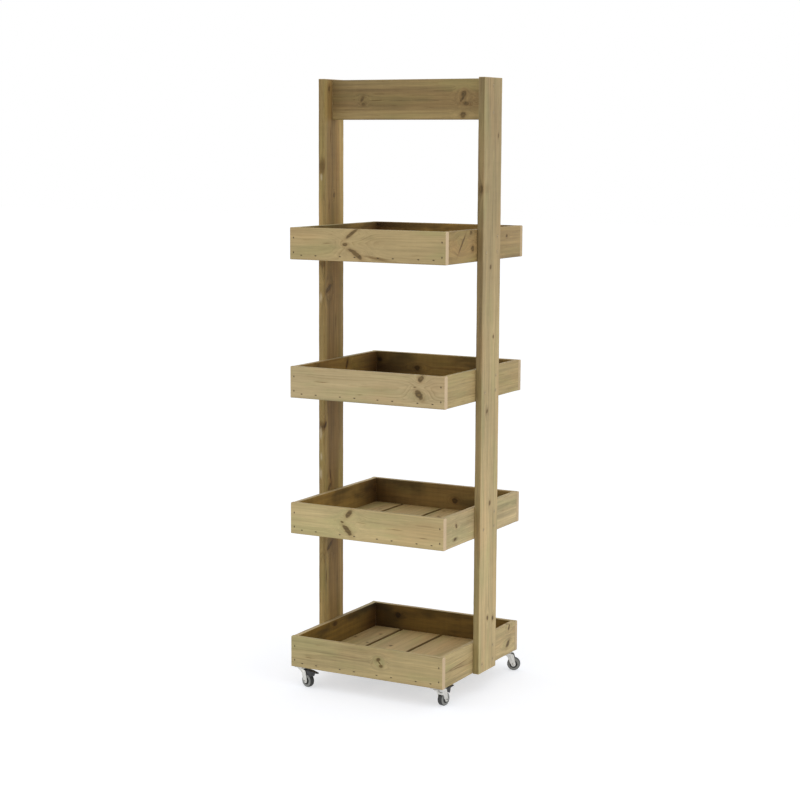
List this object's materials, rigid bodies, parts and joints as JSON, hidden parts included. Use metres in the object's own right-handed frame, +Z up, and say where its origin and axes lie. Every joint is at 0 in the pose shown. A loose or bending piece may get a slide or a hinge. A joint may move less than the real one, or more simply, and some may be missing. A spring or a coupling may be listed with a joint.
{
  "type": "flower cart",
  "caption": "Tall open flower cart with square slatted trays between two flat posts and a top crossbar, rolling on swivel casters.",
  "frame": {"origin": "on the floor, under the centre of the stand", "axes": "+X along the front to the right, +Y from the front to the back, +Z up"},
  "size_m": [0.5456, 0.5006, 1.787],
  "materials": {
    "board_wood": "planed, pressure-treated softwood",
    "slat_wood": "planed, pressure-treated softwood",
    "post_wood": "planed, pressure-treated softwood",
    "nail_steel": "dull dark steel",
    "screw_steel": "zinc-plated",
    "zinc_steel": "bright zinc-plated, pressed",
    "grey_rubber": "matt grey rubber",
    "black_plastic": "matt black"
  },
  "bodies": {
    "stand": {"caster_back_left_plate": "zinc_steel", "caster_back_right_plate": "zinc_steel", "caster_front_left_plate": "zinc_steel", "caster_front_right_plate": "zinc_steel", "caster_kingpins": "zinc_steel", "caster_screws": "screw_steel", "crossbar": "post_wood", "crossbar_screws": "screw_steel", "post_left": "post_wood", "post_right": "post_wood", "post_screws": "screw_steel", "tray_1_back_board": "board_wood", "tray_1_front_board": "board_wood", "tray_1_left_board": "board_wood", "tray_1_right_board": "board_wood", "tray_1_slat_1": "slat_wood", "tray_1_slat_2": "slat_wood", "tray_1_slat_3": "slat_wood", "tray_1_slat_4": "slat_wood", "tray_2_back_board": "board_wood", "tray_2_front_board": "board_wood", "tray_2_left_board": "board_wood", "tray_2_right_board": "board_wood", "tray_2_slat_1": "slat_wood", "tray_2_slat_2": "slat_wood", "tray_2_slat_3": "slat_wood", "tray_2_slat_4": "slat_wood", "tray_3_back_board": "board_wood", "tray_3_front_board": "board_wood", "tray_3_left_board": "board_wood", "tray_3_right_board": "board_wood", "tray_3_slat_1": "slat_wood", "tray_3_slat_2": "slat_wood", "tray_3_slat_3": "slat_wood", "tray_3_slat_4": "slat_wood", "tray_4_back_board": "board_wood", "tray_4_front_board": "board_wood", "tray_4_left_board": "board_wood", "tray_4_right_board": "board_wood", "tray_4_slat_1": "slat_wood", "tray_4_slat_2": "slat_wood", "tray_4_slat_3": "slat_wood", "tray_4_slat_4": "slat_wood", "tray_nails": "nail_steel"},
    "front_left_fork": {"caster_front_left_fork": "zinc_steel", "caster_front_left_axle": "zinc_steel"},
    "front_left_wheel": {"caster_front_left_wheel": "grey_rubber"},
    "front_left_brake": {"caster_front_left_brake_pedal": "black_plastic"},
    "front_right_fork": {"caster_front_right_fork": "zinc_steel", "caster_front_right_axle": "zinc_steel"},
    "front_right_wheel": {"caster_front_right_wheel": "grey_rubber"},
    "front_right_brake": {"caster_front_right_brake_pedal": "black_plastic"},
    "back_left_fork": {"caster_back_left_fork": "zinc_steel", "caster_back_left_axle": "zinc_steel"},
    "back_left_wheel": {"caster_back_left_wheel": "grey_rubber"},
    "back_right_fork": {"caster_back_right_fork": "zinc_steel", "caster_back_right_axle": "zinc_steel"},
    "back_right_wheel": {"caster_back_right_wheel": "grey_rubber"}
  },
  "joints": [
    {"name": "front_left_swivel", "type": "hinge", "parent": "stand", "child": "front_left_fork", "pos_m": [-0.2275, -0.225, 0.05], "axis": [0, 0, 1], "continuous": true},
    {"name": "front_left_wheel_spin", "type": "hinge", "parent": "front_left_fork", "child": "front_left_wheel", "pos_m": [-0.20467, -0.23242, 0.02], "axis": [0.309, 0.9511, 0], "continuous": true},
    {"name": "front_left_brake_press", "type": "hinge", "parent": "front_left_fork", "child": "front_left_brake", "pos_m": [-0.20848, -0.23118, 0.0469], "axis": [0.309, 0.9511, 0], "range_deg": [0, 5]},
    {"name": "front_right_swivel", "type": "hinge", "parent": "stand", "child": "front_right_fork", "pos_m": [0.2275, -0.225, 0.05], "axis": [0, 0, 1], "continuous": true},
    {"name": "front_right_wheel_spin", "type": "hinge", "parent": "front_right_fork", "child": "front_right_wheel", "pos_m": [0.23167, -0.20136, 0.02], "axis": [-0.9848, 0.1736, 0], "continuous": true},
    {"name": "front_right_brake_press", "type": "hinge", "parent": "front_right_fork", "child": "front_right_brake", "pos_m": [0.23097, -0.2053, 0.0469], "axis": [-0.9848, 0.1736, 0], "range_deg": [0, 5]},
    {"name": "back_left_swivel", "type": "hinge", "parent": "stand", "child": "back_left_fork", "pos_m": [-0.2275, 0.225, 0.05], "axis": [0, 0, 1], "continuous": true},
    {"name": "back_left_wheel_spin", "type": "hinge", "parent": "back_left_fork", "child": "back_left_wheel", "pos_m": [-0.2155, 0.20422, 0.02], "axis": [0.866, 0.5, 0], "continuous": true},
    {"name": "back_right_swivel", "type": "hinge", "parent": "stand", "child": "back_right_fork", "pos_m": [0.2275, 0.225, 0.05], "axis": [0, 0, 1], "continuous": true},
    {"name": "back_right_wheel_spin", "type": "hinge", "parent": "back_right_fork", "child": "back_right_wheel", "pos_m": [0.25019, 0.23281, 0.02], "axis": [-0.3256, 0.9455, 0], "continuous": true}
  ]
}
